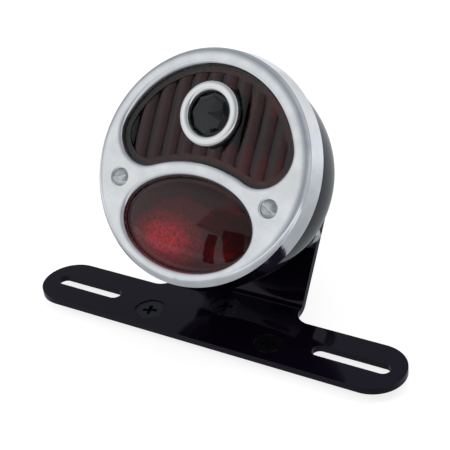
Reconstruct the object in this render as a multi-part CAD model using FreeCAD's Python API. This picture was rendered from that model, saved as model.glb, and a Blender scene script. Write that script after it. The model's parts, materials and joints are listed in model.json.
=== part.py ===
import FreeCAD, Part
import math
import os
from FreeCAD import Vector

# Motorcycle tail and stop lamp on a licence-plate bracket.
# Every lamp piece is drawn in the lamp's own frame: X to the right, Y backwards along the lamp
# axis with the door face at zero, Z up. "place" then leans the lamp back onto the bracket, whose
# lower plate lies flat: the row origin is midway between the licence slots, on the plate's top.
# Lengths are in millimetres and angles in degrees.

# ---- Bracket ----
plate_thickness = 3.2
arm_height = 30.8
arm_to_bend = 10.0
neck_width = 68.8
neck_fillet = 8.2
bend_radius = 3.0
lean_angle = 36.3
axis_above_bend = 52.7
trunk_top_drop = 8.0
slot_spacing = 143.2
slot_length = 37.7
slot_width = 7.1
arm_end_margin = 7.05
fender_screw_spacing = 64.8
fender_screw_row = -4.1
fender_screw_top_row = 12.8
fender_screw_radius = 3.15
fender_head_radius = 6.4
fender_screw_tip = 4.8
head_cone_angle = 50.0
head_recess_radius = 7.7
head_recess_depth = 0.4
cross_width = 1.9
cross_span = 7.0
cross_depth = 1.6

# ---- Door ----
sheet = 0.9
skirt_radius = 54.0
skirt_depth = 12.5
skirt_flare = 1.2
bead_height = 0.5
step_depth = 2.3
step_land = 0.3
bead_rise = 0.4
shoulder_width = 4.0
rim_land = 0.7
lip_radius = 2.8
lip_depth = 3.4
dimple_radius = 4.7
dimple_depth = 0.7

# ---- Lens openings ----
lobe_angle = 20.0
arch_top = 1.9
web_height = 7.2
oval_rim_land = 2.3
oval_side_margin = 8.7

# ---- Lenses, jewel and what holds them ----
lens_thickness = 3.4
flange_width = 2.2
lens_border = 3.0
rib_count = 12
rib_pitch = 7.6
rib_height = 1.1
rib_sink = 0.4
rib_foot = 0.2
crown_height = 6.6
crown_wall = 2.8
jewel_below_middle = 0.3
jewel_radius = 10.7
jewel_window_lip = 0.6
jewel_girdle = 3.4
jewel_crown = 3.6
jewel_facets = 8
table_facet_tilt = 12.0
crown_facet_tilt = 33.0
bezel_brim = 2.8
bezel_crest = 3.4
bezel_wall = 1.0
bezel_length = 8.6
bezel_pad = 0.8
jewel_boss_rise = 0.9
ring_nut_width = 3.0
ring_nut_height = 2.4
snap_ring_width = 1.4
snap_ring_thickness = 0.8
lens_gasket_thickness = 0.8
lens_gasket_reach = 1.0
retainer_sheet = 0.8
door_gasket_width = 1.5
door_gasket_thickness = 3.0

# ---- Housing ----
door_gap = 0.3
mouth_gap = 0.5
housing_front = 6.2
housing_flange = 2.4
bowl_start = 12.0
bowl_back = 56.0
bowl_floor_radius = 34.0
boss_radius = 7.6
boss_height = 2.2
grommet_bore = 2.6
grommet_wall = 2.1
grommet_lip = 2.0
grommet_lip_thickness = 1.6
window_half_width = 18.0
window_front = 17.0
window_back = 33.0
window_corner = 4.0
window_margin = 3.0
window_gasket_thickness = 0.8
window_glass_thickness = 2.2
window_frame_sheet = 0.8
window_ear = 4.0

# ---- Door screws and their lugs ----
door_screw_inset = 10.25
door_screw_drop = 11.8
door_screw_radius = 2.1
door_screw_end = 23.5
door_head_radius = 4.2
door_head_height = 1.9
door_slot_width = 1.1
door_slot_depth = 1.1
left_slot_turn = -20.0
right_slot_turn = 30.0
push_nut_radius = 4.8
push_nut_thickness = 0.7
lug_front = 18.0
lug_sheet = 1.5
lug_width = 12.0
lug_overhang = 6.0
lug_foot = 10.0
lug_nut_flats = 8.0
lug_nut_height = 3.2

# ---- Reflector, shield, sockets and bulbs ----
reflector_sheet = 0.8
reflector_face = 38.0
reflector_rim = 8.0
shield_gap = 1.15
shield_sheet = 0.8
socket_wall = 0.8
socket_mouth = 27.0
socket_length = 25.6
socket_end_disc = 1.5
base_radius = 7.5
base_length = 14.5
base_front = 29.0
base_wall_gap = 0.25
bulb_radius = 9.5
bulb_neck_radius = 6.6
bulb_wall = 0.8
solder_radius = 2.4
solder_height = 1.0
pin_radius = 1.0
pin_reach = 0.95
pin_place = 38.5
pin_turn = 25.0
track_gap = 0.2
plunger_radius = 6.4
plunger_thickness = 2.0
spring_radius = 4.8
spring_wire = 0.35
spring_turns = 3.0
spring_sides = 8
bulb_travel = 1.8

# ---- Mounting screws, from behind the plate into nuts inside the housing ----
stud_edge_margin = 5.825
stud_drop = 18.0
stud_radius = 3.15
stud_head_radius = 5.1
stud_slot_width = 1.6
stud_slot_depth = 1.4
spacer_flats = 12.7
spacer_height = 6.8
nut_flats = 11.1
nut_height = 6.4
nut_bore_gap = 0.05
lock_washer_width = 2.3
lock_washer_thickness = 1.8
stud_tail = 2.0
wire_hole_radius = 8.0

# ---- Fits ----
hole_gap = 0.4
seat_gap = 0.1
face_gap = 0.05

# ---- Sizes that follow from the ones above ----
arm_span = slot_spacing + slot_length + 2 * arm_end_margin
step_radius = skirt_radius - skirt_flare - bead_rise
housing_radius = step_radius + bead_rise - sheet - door_gap
retainer_radius = housing_radius - housing_flange - mouth_gap
shoulder_start = step_radius - shoulder_width
kidney_radius = shoulder_start - rim_land - lip_radius
oval_top = arch_top - web_height
oval_bottom = oval_rim_land - shoulder_start
oval_half_height = (oval_top - oval_bottom) / 2
oval_drop = -(oval_top + oval_bottom) / 2
oval_half_width = math.sqrt(shoulder_start ** 2 - oval_drop ** 2) - oval_side_margin
arch_radius = oval_half_width ** 2 / oval_half_height + web_height
door_screw_offset = shoulder_start - door_screw_inset
shield_half_width = door_screw_offset - lug_width / 2 - shield_gap
stud_spacing = neck_width - 2 * stud_edge_margin
jewel_height = (arch_top + kidney_radius) / 2 - jewel_below_middle
jewel_window_radius = jewel_radius - jewel_window_lip
bezel_outer_radius = jewel_radius + bezel_wall + bezel_brim
lens_back = lip_depth + lens_thickness
lens_front = lip_depth + face_gap
rib_crest = lens_front + rib_sink
rib_floor = rib_crest + rib_height + rib_foot
jewel_boss_front = lip_depth - jewel_boss_rise
jewel_seat = jewel_boss_front - bezel_pad
retainer_front = lens_back + lens_gasket_thickness
retainer_back = retainer_front + retainer_sheet
boss_face = bowl_back + boss_height
trunk_front = boss_face + spacer_height
trunk_back = trunk_front + plate_thickness
boss_floor = boss_face - sheet
mounting_nut_back = boss_floor - lock_washer_thickness
mounting_nut_front = mounting_nut_back - nut_height
bend_line = arm_height / 2 + arm_to_bend
bend_angle = 90.0 - lean_angle
base_back = base_front + base_length
plunger_front = base_back + solder_height
spring_front = plunger_front + plunger_thickness
socket_back = socket_mouth + socket_length
disc_front = socket_back - socket_end_disc
socket_bore = base_radius + base_wall_gap
socket_radius = socket_bore + socket_wall
origin = Vector(0, 0, 0)
axis_x = Vector(1, 0, 0)
axis_y = Vector(0, 1, 0)
axis_z = Vector(0, 0, 1)


def place(shape):
    """Lean a lamp-frame shape back about the bend line and set it on the bracket."""
    moved = shape.copy()
    moved.translate(Vector(0, -trunk_front, axis_above_bend))
    moved.rotate(origin, axis_x, -lean_angle)
    moved.translate(Vector(0, bend_line, 0))
    return moved


def save(name, solids):
    """Write one node as a group of its separate solids."""
    Part.makeCompound(solids).exportStep("parts/" + name + ".step")


def lamp(name, *shapes):
    """Write a node that was drawn in the lamp frame."""
    save(name, [place(solid) for shape in shapes for solid in shape.Solids])


def disc(radius, y_front, y_back, x=0.0, z=0.0):
    return Part.makeCylinder(radius, y_back - y_front, Vector(x, y_front, z), axis_y)


def ring(inner, outer, y_front, y_back, x=0.0, z=0.0):
    return disc(outer, y_front, y_back, x, z).cut(disc(inner, y_front - 1, y_back + 1, x, z))


def block(x0, x1, y0, y1, z0, z1):
    return Part.makeBox(x1 - x0, y1 - y0, z1 - z0, Vector(x0, y0, z0))


def turned(points):
    """A solid turned about the lamp axis from a closed outline of (radius, depth) points."""
    corners = [Vector(r, y, 0) for r, y in points]
    face = Part.Face(Part.makePolygon(corners + corners[:1]))
    return face.revolve(origin, axis_y, 360)


def turned_edges(edges):
    face = Part.Face(Part.Wire(Part.__sortEdges__(edges)))
    return face.revolve(origin, axis_y, 360)


def line(r0, y0, r1, y1):
    return Part.makeLine(Vector(r0, y0, 0), Vector(r1, y1, 0))


def prism(wire, y_front, y_back):
    """Push a closed outline, drawn at depth zero, from one depth to another."""
    solid = Part.Face(wire).extrude(Vector(0, y_back - y_front, 0))
    solid.translate(Vector(0, y_front, 0))
    return solid


def hexagon(flats, y_front, y_back, x, z):
    """A hexagonal prism along the lamp axis with a point to each side."""
    reach = flats / math.sqrt(3)
    corners = []
    for i in range(7):
        turn = math.radians(60 * i)
        corners.append(Vector(x + reach * math.cos(turn), y_front, z + reach * math.sin(turn)))
    body = Part.Face(Part.makePolygon(corners)).extrude(Vector(0, y_back - y_front, 0))
    chamfer = flats / 2 + (reach - flats / 2) * 0.55
    slope = (y_back - y_front) + reach
    front = Part.makeCone(chamfer, chamfer + slope * 2, slope, Vector(x, y_front, z), axis_y)
    back = Part.makeCone(chamfer, chamfer + slope * 2, slope, Vector(x, y_back, z), -axis_y)
    return body.common(front).common(back)


def edges_at(shape, y):
    """The edges that lie wholly at one depth."""
    return [e for e in shape.Edges if abs(e.BoundBox.YMin - y) < 1e-6 and abs(e.BoundBox.YMax - y) < 1e-6]


# ---- Outlines of the two lens openings ----

def lobe_circle():
    """Centre and radius of the right lobe, which touches both the rim arc and the arch."""
    turn = math.radians(lobe_angle)
    arch_drop = arch_radius - arch_top
    lift = arch_drop * math.sin(turn)
    spare = kidney_radius ** 2 + 2 * kidney_radius * lift + arch_drop ** 2 - arch_radius ** 2
    radius = spare / (2 * (kidney_radius + lift + arch_radius))
    reach = kidney_radius - radius
    return Vector(reach * math.cos(turn), 0, reach * math.sin(turn)), radius


def kidney(offset):
    """The upper opening: rim arc, two round lobes and an arch over the oval, grown by offset."""
    lobe, lobe_radius = lobe_circle()
    arch_centre = Vector(0, 0, arch_top - arch_radius)
    to_lobe = (lobe - arch_centre).normalize()
    outward = Vector(lobe.x, 0, lobe.z).normalize()
    side = (outward - to_lobe).normalize()
    radius = lobe_radius + offset
    upper = lobe + outward * radius
    middle = lobe + side * radius
    lower = lobe - to_lobe * radius

    def mirrored(point):
        return Vector(-point.x, point.y, point.z)

    top = Vector(0, 0, kidney_radius + offset)
    arch = Vector(0, 0, arch_top - offset)
    edges = [
        Part.Arc(upper, top, mirrored(upper)).toShape(),
        Part.Arc(mirrored(upper), mirrored(middle), mirrored(lower)).toShape(),
        Part.Arc(mirrored(lower), arch, lower).toShape(),
        Part.Arc(lower, middle, upper).toShape(),
    ]
    return Part.Wire(edges)


def oval(offset):
    """The lower opening, an ellipse grown by offset."""
    centre = Vector(0, 0, -oval_drop)
    curve = Part.Ellipse(centre + Vector(oval_half_width + offset, 0, 0),
                         centre + Vector(0, 0, oval_half_height + offset), centre)
    return Part.Wire([curve.toShape()])


def screw_places():
    return [(-door_screw_offset, -door_screw_drop), (door_screw_offset, -door_screw_drop)]


def stud_places():
    return [(-stud_spacing / 2, -stud_drop), (stud_spacing / 2, -stud_drop)]


# ---- Door ----

def shoulder_arc(inset):
    """The rounded shoulder between the flat face and the step, moved inwards by inset."""
    sweep = 2 * math.atan2(step_depth, shoulder_width)
    radius = shoulder_width / math.sin(sweep)

    def at(angle):
        r = shoulder_start + (radius - inset) * math.sin(angle)
        return Vector(r, radius - (radius - inset) * math.cos(angle), 0)

    arc = Part.Arc(at(0), at(sweep / 2), at(sweep)).toShape()
    return arc, at(0), at(sweep)


def door_body(inset, back):
    """The door's turned form: full outside for no inset, hollow for an inset of the sheet."""
    arc, start, end = shoulder_arc(inset)
    bead_front = step_depth + step_land + inset
    bead_back = bead_front + bead_height
    bead_radius = step_radius + bead_rise - inset
    edges = [
        line(0, inset, start.x, start.y),
        arc,
        line(end.x, end.y, end.x, bead_front),
        line(end.x, bead_front, bead_radius, bead_back),
        line(bead_radius, bead_back, skirt_radius - inset, back),
        line(skirt_radius - inset, back, 0, back),
        line(0, back, 0, inset),
    ]
    return turned_edges(edges)


def make_door():
    outside = door_body(0.0, skirt_depth)
    for wire in (kidney(0.0), oval(0.0)):
        outside = outside.cut(prism(wire, -1, skirt_depth + 1))
    front = [e for e in edges_at(outside, 0.0) if e.BoundBox.XLength < 2 * (shoulder_start - 0.01)]
    outside = outside.makeFillet(lip_radius, front)
    hollow = door_body(sheet, skirt_depth + 0.001)
    for wire in (kidney(sheet), oval(sheet)):
        hollow = hollow.cut(prism(wire, 0, lip_depth))
    inner = [e for e in edges_at(hollow, sheet) if e.BoundBox.XLength < 2 * (shoulder_start - 0.01)]
    hollow = hollow.makeFillet(lip_radius - sheet, inner)
    for x, z in screw_places():
        hollow = hollow.cut(disc(dimple_radius + sheet, 0, dimple_depth + sheet, x, z))
        outside = outside.cut(disc(dimple_radius, -1, dimple_depth, x, z))
        outside = outside.cut(disc(door_screw_radius + hole_gap / 2, -1, skirt_depth, x, z))
    return outside.cut(hollow)


# ---- Lenses ----

def make_upper_lens():
    """A flat border, with upright ribs sunk a little inside it and a boss for the jewel."""
    lens = prism(kidney(flange_width), lens_front, lens_back)
    lens = lens.fuse(prism(kidney(-seat_gap), lip_depth, lens_back))
    width = rib_count * rib_pitch
    valley = rib_crest + rib_height
    edges = []
    for i in range(rib_count):
        left = -width / 2 + i * rib_pitch
        start = Vector(left, valley, 0)
        crest = Vector(left + rib_pitch / 2, rib_crest, 0)
        end = Vector(left + rib_pitch, valley, 0)
        edges.append(Part.Arc(start, crest, end).toShape())
    corners = [Vector(width / 2, valley, 0), Vector(width / 2, lens_back, 0),
               Vector(-width / 2, lens_back, 0), Vector(-width / 2, valley, 0)]
    edges += Part.makePolygon(corners).Edges
    ribs = Part.Face(Part.Wire(edges)).extrude(Vector(0, 0, 2 * kidney_radius))
    ribs.translate(Vector(0, 0, -kidney_radius))
    field = prism(kidney(-lens_border), 0, rib_floor)
    lens = lens.cut(field).fuse(ribs.common(field))
    lens = lens.fuse(disc(bezel_outer_radius - seat_gap, jewel_boss_front, lens_back, 0, jewel_height))
    hole = jewel_radius + bezel_wall + hole_gap / 2
    return lens.cut(disc(hole, -5, lens_back + 1, 0, jewel_height)).removeSplitter()


def crown(half_width, half_height, height, y):
    """A smooth oval dome that stands forward from depth y."""
    radius = (half_height ** 2 + height ** 2) / (2 * height)
    cap = Part.makeSphere(radius)
    cap.translate(Vector(0, radius - height, 0))
    cap = cap.common(block(-radius, radius, -height - 1, 0, -radius, radius))
    stretch = FreeCAD.Matrix()
    stretch.A11 = half_width / half_height
    cap = cap.transformGeometry(stretch)
    cap.translate(Vector(0, y, -oval_drop))
    return cap


def make_lower_lens():
    lens = prism(oval(flange_width), lens_front, lens_back)
    lens = lens.fuse(prism(oval(-seat_gap), lip_depth, lens_back))
    lens = lens.fuse(crown(oval_half_width - seat_gap, oval_half_height - seat_gap, crown_height, lip_depth))
    inner_width = oval_half_width - crown_wall
    inner_height = oval_half_height - crown_wall
    lens = lens.cut(prism(oval(-crown_wall), lip_depth, lens_back + 1))
    hollow = crown(inner_width, inner_height, crown_height - crown_wall + sheet, lip_depth)
    return lens.cut(hollow).removeSplitter()


# ---- Jewel set into the upper lens ----

def make_jewel_bezel():
    seat = jewel_seat
    barrel = jewel_radius + bezel_wall
    crest_radius = (jewel_window_radius + bezel_outer_radius) / 2
    start = Vector(jewel_window_radius, seat, 0)
    end = Vector(bezel_outer_radius, seat, 0)
    bulge = Part.Arc(start, Vector(crest_radius, seat - bezel_crest, 0), end).toShape()
    edges = [
        bulge,
        line(bezel_outer_radius, seat, barrel, seat),
        line(barrel, seat, barrel, seat + bezel_length),
        line(barrel, seat + bezel_length, jewel_radius + seat_gap, seat + bezel_length),
        line(jewel_radius + seat_gap, seat + bezel_length, jewel_radius + seat_gap, seat + face_gap),
        line(jewel_radius + seat_gap, seat + face_gap, jewel_window_radius, seat + face_gap),
        line(jewel_window_radius, seat + face_gap, jewel_window_radius, seat),
    ]
    bezel = turned_edges(edges)
    bezel.translate(Vector(0, 0, jewel_height))
    return bezel


def make_jewel():
    """A cut-glass stone: a girdle, a ring of steep facets and a ring of shallow ones."""
    seat = jewel_seat + 2 * face_gap
    stone = disc(jewel_radius, seat, seat + jewel_girdle)
    stone = stone.fuse(disc(jewel_window_radius - 2 * seat_gap, seat - jewel_crown, seat))
    apex = Vector(0, seat - jewel_crown + seat_gap, 0)
    rim = Vector(jewel_window_radius, seat - face_gap, 0)
    for tilt, point, phase in ((table_facet_tilt, apex, 0.0), (crown_facet_tilt, rim, 0.5)):
        for i in range(jewel_facets):
            size = 3 * jewel_radius
            cutter = block(-size, size, -size, 0, -size, size)
            cutter.rotate(origin, axis_z, tilt)
            cutter.translate(point)
            cutter.rotate(origin, axis_y, 360.0 / jewel_facets * (i + phase))
            stone = stone.cut(cutter)
    stone.translate(Vector(0, 0, jewel_height))
    return stone


def make_jewel_pad():
    inner = jewel_radius + bezel_wall + seat_gap
    return ring(inner, bezel_outer_radius - seat_gap, jewel_seat, jewel_boss_front, 0, jewel_height)


def make_jewel_ring_nut():
    inner = jewel_radius + bezel_wall + face_gap
    nut = ring(inner, inner + ring_nut_width, lens_back, lens_back + ring_nut_height, 0, jewel_height)
    for i in range(4):
        notch = block(-1, 1, lens_back + ring_nut_height / 2, lens_back + ring_nut_height + 1,
                      inner + ring_nut_width / 2, inner + ring_nut_width + 1)
        notch.rotate(origin, axis_y, 90 * i + 45)
        notch.translate(Vector(0, 0, jewel_height))
        nut = nut.cut(notch)
    return nut


def make_jewel_snap_ring():
    front = jewel_seat + 2 * face_gap + jewel_girdle
    outer = jewel_radius + face_gap
    snap = ring(outer - snap_ring_width, outer, front, front + snap_ring_thickness, 0, jewel_height)
    gap = block(-1.2, 1.2, front - 1, front + snap_ring_thickness + 1, jewel_height - outer - 1, jewel_height)
    return snap.cut(gap)


# ---- Pieces between the door and the housing ----

def lens_gasket(outline):
    return prism(outline(flange_width), lens_back, retainer_front).cut(
        prism(outline(-lens_gasket_reach), lens_back - 1, retainer_front + 1))


def make_retainer():
    plate = disc(retainer_radius, retainer_front, retainer_back)
    for wire in (kidney(-lens_gasket_reach), oval(-lens_gasket_reach)):
        plate = plate.cut(prism(wire, retainer_front - 1, retainer_back + 1))
    for x, z in screw_places():
        plate = plate.cut(disc(door_screw_radius + hole_gap / 2, retainer_front - 1, retainer_back + 1, x, z))
    return plate


def make_door_gasket():
    outer = step_radius - sheet - hole_gap
    return ring(outer - door_gasket_width, outer, housing_front - door_gasket_thickness, housing_front)


def make_door_screw(x, z, turn):
    seat = dimple_depth
    shank = disc(door_screw_radius, seat, door_screw_end)
    dome = (door_head_radius ** 2 + door_head_height ** 2) / (2 * door_head_height)
    head = Part.makeSphere(dome)
    head.translate(Vector(0, seat - door_head_height + dome, 0))
    head = head.common(block(-dome, dome, -dome, seat, -dome, dome))
    half = door_slot_width / 2
    slot = block(-dome, dome, -dome, seat - door_head_height + door_slot_depth, -half, half)
    slot.rotate(origin, axis_y, turn)
    screw = shank.fuse(head).cut(slot)
    screw.translate(Vector(x, 0, z))
    return screw


def make_push_nut(x, z):
    back = retainer_back + push_nut_thickness
    return ring(door_screw_radius + face_gap, push_nut_radius, retainer_back, back, x, z)


# ---- Housing ----

def bowl(inset, front, back_cut=None):
    """The housing's turned form, moved inwards by inset and open towards the front."""
    rim = housing_radius - inset
    depth = bowl_back - inset - bowl_start
    width = housing_radius - bowl_floor_radius - inset
    floor = Vector(bowl_floor_radius, bowl_start, 0)
    if depth > width:
        curve = Part.Ellipse(floor + Vector(0, depth, 0), floor + Vector(width, 0, 0), floor)
    else:
        curve = Part.Ellipse(floor + Vector(width, 0, 0), floor + Vector(0, depth, 0), floor)
    at_rim = curve.parameter(floor + Vector(width, 0, 0))
    at_back = curve.parameter(floor + Vector(0, depth, 0))
    first, last = sorted((at_rim, at_back))
    if last - first > math.pi:
        first, last = last, first + 2 * math.pi
    edges = [
        line(0, front, rim, front),
        line(rim, front, rim, bowl_start),
        Part.ArcOfEllipse(curve, first, last).toShape(),
        line(bowl_floor_radius, bowl_start + depth, 0, bowl_start + depth),
        line(0, bowl_start + depth, 0, front),
    ]
    return turned_edges(edges)


def wall_band(near, far, front, back):
    """A layer that follows the inside of the housing wall, between two distances from it."""
    outer = bowl(sheet + near, housing_front)
    inner = bowl(sheet + far, housing_front - 1)
    return outer.cut(inner).common(block(-99, 99, front, back, -99, 99))


def window_cutter(grow, front_z, back_z):
    """An upright prism with rounded corners through the bottom of the housing."""
    cutter = block(-window_half_width - grow, window_half_width + grow,
                   window_front - grow, window_back + grow, back_z, front_z)
    upright = [e for e in cutter.Edges if abs(e.BoundBox.ZLength - (front_z - back_z)) < 1e-6]
    return cutter.makeFillet(window_corner + grow, upright)


def below(shape):
    return shape.common(block(-99, 99, 0, 99, -99, 0))


def make_housing():
    outside = bowl(0.0, housing_front)
    inside = bowl(sheet, housing_front + sheet)
    mouth = disc(housing_radius - housing_flange, housing_front - 1, housing_front + sheet + 1)
    for x, z in stud_places():
        outside = outside.fuse(disc(boss_radius, bowl_start, boss_face, x, z))
        inside = inside.fuse(disc(boss_radius - sheet, bowl_start, boss_floor, x, z))
    housing = outside.cut(inside).cut(mouth)
    for x, z in stud_places():
        housing = housing.cut(disc(stud_radius + hole_gap / 2, bowl_start, boss_face + 1, x, z))
    housing = housing.cut(disc(grommet_bore + grommet_wall + face_gap, bowl_start, bowl_back + 1))
    return housing.cut(window_cutter(0.0, -housing_radius / 2, -housing_radius - 5))


def make_window_glass():
    near = window_gasket_thickness + seat_gap
    band = below(wall_band(near, near + window_glass_thickness, 0, 99))
    return band.common(window_cutter(window_margin, 0, -housing_radius - 5))


def make_window_gasket():
    band = below(wall_band(seat_gap, window_gasket_thickness + seat_gap / 2, 0, 99))
    band = band.common(window_cutter(window_margin, 0, -housing_radius - 5))
    return band.cut(window_cutter(0.0, 0, -housing_radius - 5))


def make_window_frame():
    near = window_gasket_thickness + window_glass_thickness + 2 * seat_gap
    far = near + window_frame_sheet
    half = window_half_width + window_margin + seat_gap
    front = window_front - window_margin
    back = window_back + window_margin
    bridge = below(wall_band(near, far, front, back))
    bridge = bridge.common(block(-half - window_ear, half + window_ear, 0, 99, -99, 0))
    bridge = bridge.cut(window_cutter(0.0, 0, -housing_radius - 5))
    ears = below(wall_band(seat_gap, far, front, back))
    right = ears.common(block(half + window_frame_sheet, half + window_ear, 0, 99, -99, 0))
    left = ears.common(block(-half - window_ear, -half - window_frame_sheet, 0, 99, -99, 0))
    return bridge.fuse(right).fuse(left).removeSplitter()


def make_lug(x, z):
    """A bent tab from the housing wall with the hole for a door screw."""
    reach = math.hypot(x, z)
    turn = -math.degrees(math.atan2(z, x))
    half = lug_width / 2
    tab = block(reach - lug_overhang, housing_radius, lug_front, lug_front + lug_sheet, -half, half)
    foot = wall_band(seat_gap, seat_gap + lug_sheet, lug_front, lug_front + lug_foot)
    foot = foot.common(block(0, housing_radius, 0, 99, -half, half))
    tab = tab.common(bowl(sheet + seat_gap, housing_front))
    lug = tab.fuse(foot).removeSplitter()
    lug.rotate(origin, axis_y, turn)
    return lug.cut(disc(door_screw_radius + hole_gap / 2, lug_front - 1, lug_front + lug_sheet + 1, x, z))


def make_lug_nut(x, z):
    front = lug_front + lug_sheet
    half = lug_nut_flats / 2
    nut = block(-half, half, front, front + lug_nut_height, -half, half)
    nut.rotate(origin, axis_y, -math.degrees(math.atan2(z, x)))
    nut.translate(Vector(x, 0, z))
    return nut.cut(disc(door_screw_radius + face_gap, front - 1, front + lug_nut_height + 1, x, z))


def make_grommet():
    inner_face = bowl_back - sheet - face_gap
    outer_face = bowl_back + face_gap
    waist = grommet_bore + grommet_wall
    points = [
        (grommet_bore, inner_face - grommet_lip_thickness),
        (waist + grommet_lip * 0.6, inner_face - grommet_lip_thickness),
        (waist + grommet_lip, inner_face),
        (waist, inner_face),
        (waist, outer_face),
        (waist + grommet_lip, outer_face),
        (waist + grommet_lip * 0.6, outer_face + grommet_lip_thickness),
        (grommet_bore, outer_face + grommet_lip_thickness),
    ]
    return turned(points)


# ---- Reflector and light shield ----

def lamp_heights():
    return {"stop": jewel_height, "tail": -oval_drop}


def make_reflector():
    back = reflector_face + reflector_sheet
    plate = bowl(sheet + seat_gap, reflector_face).common(block(-99, 99, reflector_face, back, -99, 99))
    rim = wall_band(seat_gap, seat_gap + reflector_sheet, reflector_face - reflector_rim, reflector_face)
    clear = window_half_width + window_margin + window_ear + hole_gap
    rim = rim.cut(block(-clear, clear, 0, reflector_face, -housing_radius, 0))
    reflector = plate.fuse(rim)
    for z in lamp_heights().values():
        reflector = reflector.cut(disc(socket_radius + face_gap, reflector_face - 1, back + 1, 0, z))
    return reflector.removeSplitter()


def make_light_shield():
    """A thin arch that keeps the two chambers apart, along the web between the openings."""
    web_middle = (arch_top + oval_top) / 2
    centre = arch_top - arch_radius
    radius = web_middle - centre
    front = retainer_back + face_gap
    arch = ring(radius - shield_sheet / 2, radius + shield_sheet / 2, front, reflector_face, 0, centre)
    return arch.common(block(-shield_half_width, shield_half_width, 0, 99, -99 - radius, 99)).common(
        block(-99, 99, 0, 99, centre, 99))


# ---- Bulb sockets and bulbs ----

def j_track(radius_in, radius_out):
    """The bayonet track cut for one pin: in from the mouth, round, and back to the notch."""
    half = pin_radius + track_gap
    deep = pin_place + bulb_travel + half
    run = block(radius_in, radius_out, socket_mouth - 1, deep, -half, half)
    notch = block(radius_in, radius_out, pin_place - half, deep, -half, half)
    notch.rotate(origin, axis_y, -pin_turn)
    turn = ring(radius_in, radius_out, deep - 2 * half, deep)
    turn = turn.common(sector(radius_out + 1, deep - 2 * half, deep, -pin_turn, 0))
    return run.fuse(notch).fuse(turn)


def sector(radius, y_front, y_back, start, end):
    """A pie slice about the lamp axis between two turns, in degrees from +X."""
    first = Vector(radius * math.cos(math.radians(start)), y_front, -radius * math.sin(math.radians(start)))
    middle_turn = math.radians((start + end) / 2)
    middle = Vector(radius * math.cos(middle_turn), y_front, -radius * math.sin(middle_turn))
    last = Vector(radius * math.cos(math.radians(end)), y_front, -radius * math.sin(math.radians(end)))
    centre = Vector(0, y_front, 0)
    edges = [
        Part.makeLine(centre, first),
        Part.Arc(first, middle, last).toShape(),
        Part.makeLine(last, centre),
    ]
    return Part.Face(Part.Wire(edges)).extrude(Vector(0, y_back - y_front, 0))


def make_socket(z):
    tube = ring(socket_bore, socket_radius, socket_mouth, socket_back)
    for half_turn in (0, 180):
        track = j_track(socket_bore - 1, socket_radius + 1)
        track.rotate(origin, axis_y, half_turn)
        tube = tube.cut(track)
    tube.translate(Vector(0, 0, z))
    return tube


def make_socket_disc(z):
    return disc(socket_bore - face_gap, disc_front, socket_back, 0, z)


def make_bulb_base(z):
    shell = disc(base_radius, base_front, base_back)
    shell = shell.cut(disc(bulb_neck_radius + face_gap, base_front - 1, base_front + base_length / 3))
    shell = shell.fuse(disc(solder_radius, base_back - 1, base_back + solder_height))
    for half_turn in (0, 180):
        pin = Part.makeCylinder(pin_radius, base_radius + pin_reach, Vector(0, pin_place, 0), axis_x)
        pin.rotate(origin, axis_y, half_turn - pin_turn)
        shell = shell.fuse(pin)
    shell = shell.removeSplitter()
    shell.translate(Vector(0, 0, z))
    return shell


def make_bulb_glass(z):
    def form(inset):
        ball = Part.makeSphere(bulb_radius - inset)
        ball.translate(Vector(0, base_front - bulb_radius, 0))
        neck = disc(bulb_neck_radius - inset, base_front - bulb_radius, base_front + base_length / 3 - inset)
        return ball.fuse(neck)

    glass = form(0.0).cut(form(bulb_wall))
    glass = glass.cut(ring(bulb_neck_radius, bulb_radius + 1, base_front - face_gap, base_back))
    glass.translate(Vector(0, 0, z))
    return glass


def make_plunger(z):
    body = disc(plunger_radius, plunger_front + face_gap, spring_front, 0, z)
    return body


def make_spring(z):
    """Open coil between the plunger and the socket's end disc."""
    start = spring_front + spring_wire + face_gap
    end = disc_front - spring_wire - face_gap
    height = end - start
    helix = Part.makeHelix(height / spring_turns, height, spring_radius)
    corners = []
    for i in range(spring_sides + 1):
        turn = 2 * math.pi * i / spring_sides
        corners.append(Vector(spring_radius + spring_wire * math.cos(turn), 0, spring_wire * math.sin(turn)))
    coil = Part.Wire(helix.Edges).makePipeShell([Part.makePolygon(corners)], True, True)
    coil.rotate(origin, axis_x, -90)
    coil.translate(Vector(0, start, z))
    return coil


# ---- Mounting hardware ----

def stud_cone(x, z, gap):
    """The countersink at the plate's back, or with no gap the screw head that fills it."""
    depth = stud_head_radius - stud_radius
    front = Vector(x, trunk_back - depth, z)
    return Part.makeCone(stud_radius + gap, stud_head_radius + gap, depth, front, axis_y)


def make_stud(x, z):
    end = mounting_nut_front - stud_tail
    stud = disc(stud_radius, end, trunk_back, x, z)
    stud = stud.makeChamfer(stud_radius / 5, edges_at(stud, end)).fuse(stud_cone(x, z, 0.0))
    half = stud_slot_width / 2
    reach = stud_head_radius + 1
    slot = block(x - reach, x + reach, trunk_back - stud_slot_depth, trunk_back + 1, z - half, z + half)
    return stud.cut(slot).removeSplitter()


def make_nut(x, z, flats, front, back):
    bore = disc(stud_radius + nut_bore_gap, front - 1, back + 1, x, z)
    return hexagon(flats, front, back, x, z).cut(bore)


def make_lock_washer(x, z):
    inner = stud_radius + hole_gap / 2
    outer = inner + lock_washer_width
    washer = ring(inner, outer, mounting_nut_back, boss_floor, x, z)
    gap = block(x - 0.6, x + 0.6, mounting_nut_back - 1, boss_floor + 1, z + inner / 2, z + outer + 1)
    return washer.cut(gap)


# ---- Bracket ----

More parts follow.
